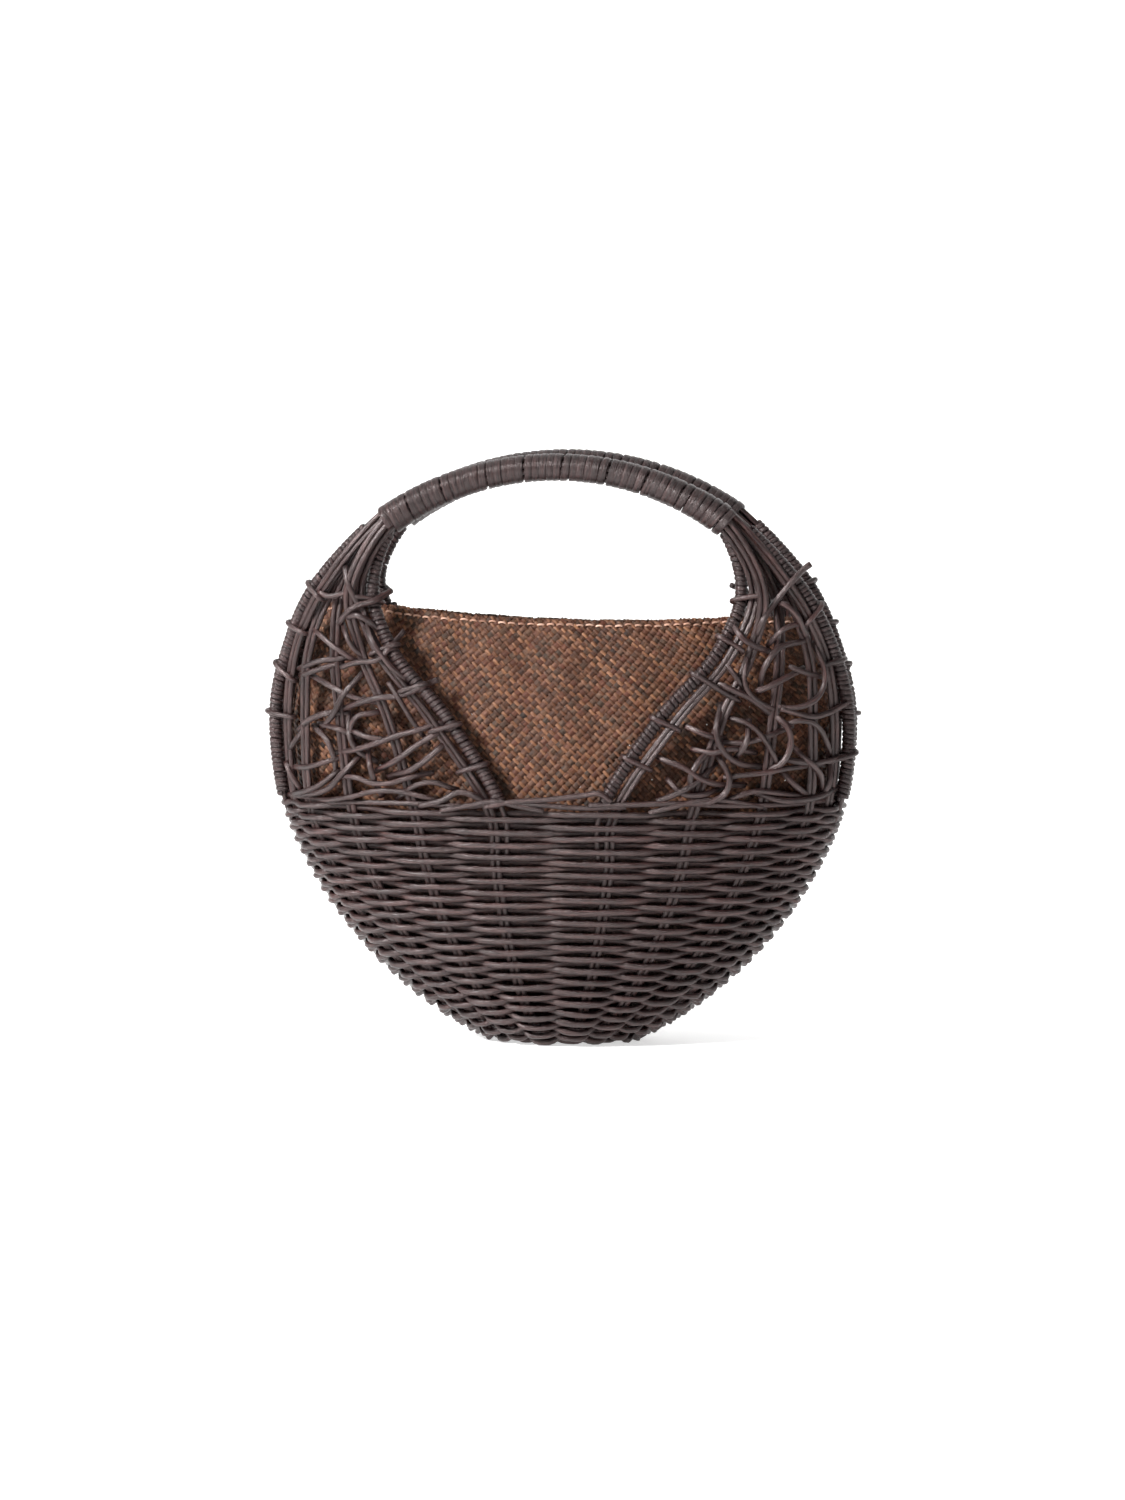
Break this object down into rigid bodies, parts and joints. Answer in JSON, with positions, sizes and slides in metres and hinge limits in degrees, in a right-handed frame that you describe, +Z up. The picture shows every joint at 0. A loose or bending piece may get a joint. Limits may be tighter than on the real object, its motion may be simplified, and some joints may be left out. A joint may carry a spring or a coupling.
{
  "type": "wicker handbag basket",
  "caption": "Round cane handbag basket: woven bowl on bent cane hoops that fan out of two wrapped arch grips, with an inner pouch of diagonal mat.",
  "frame": {"origin": "middle of the base, on the surface that the basket stands on", "axes": "+Z up, +X towards the right side seen from the front, and the front faces -Y"},
  "size_m": [0.3186, 0.1193, 0.3212],
  "materials": {
    "cane": "dark brown lacquered round rattan core, semi-gloss",
    "peel_wrap": "dark brown lacquered flat rattan peel, semi-gloss with fine lengthwise fibre",
    "mat": "matt woven leaf-fibre mat in reddish and greyish browns",
    "stitch_thread": "pinkish tan sewing thread"
  },
  "bodies": {
    "root": {"front_grip_wrap": "peel_wrap", "front_hoop_1": "cane", "front_hoop_2": "cane", "front_hoop_3": "cane", "front_hoop_4": "cane", "front_hoop_5": "cane", "front_inner_rim_core": "cane", "front_left_fillers": "cane", "front_left_inner_rim_wrap": "peel_wrap", "front_left_inner_ties": "cane", "front_left_outer_rim_wrap": "peel_wrap", "front_left_outer_ties": "cane", "front_loose_cane": "cane", "front_outer_rim_core": "cane", "front_right_fillers": "cane", "front_right_inner_rim_wrap": "peel_wrap", "front_right_inner_ties": "cane", "front_right_outer_rim_wrap": "peel_wrap", "front_right_outer_ties": "cane", "inner_weave": "cane", "outer_weave": "cane", "pouch_front_hem": "mat", "pouch_front_mat": "mat", "pouch_front_stitching": "stitch_thread", "pouch_rear_hem": "mat", "pouch_rear_mat": "mat", "pouch_rear_stitching": "stitch_thread", "rear_grip_wrap": "peel_wrap", "rear_hoop_1": "cane", "rear_hoop_2": "cane", "rear_hoop_3": "cane", "rear_hoop_4": "cane", "rear_hoop_5": "cane", "rear_inner_rim_core": "cane", "rear_left_fillers": "cane", "rear_left_inner_rim_wrap": "peel_wrap", "rear_left_inner_ties": "cane", "rear_left_outer_rim_wrap": "peel_wrap", "rear_left_outer_ties": "cane", "rear_outer_rim_core": "cane", "rear_right_fillers": "cane", "rear_right_inner_rim_wrap": "peel_wrap", "rear_right_inner_ties": "cane", "rear_right_outer_rim_wrap": "peel_wrap", "rear_right_outer_ties": "cane", "top_weavers": "cane", "woven_base": "cane"}
  },
  "joints": []
}
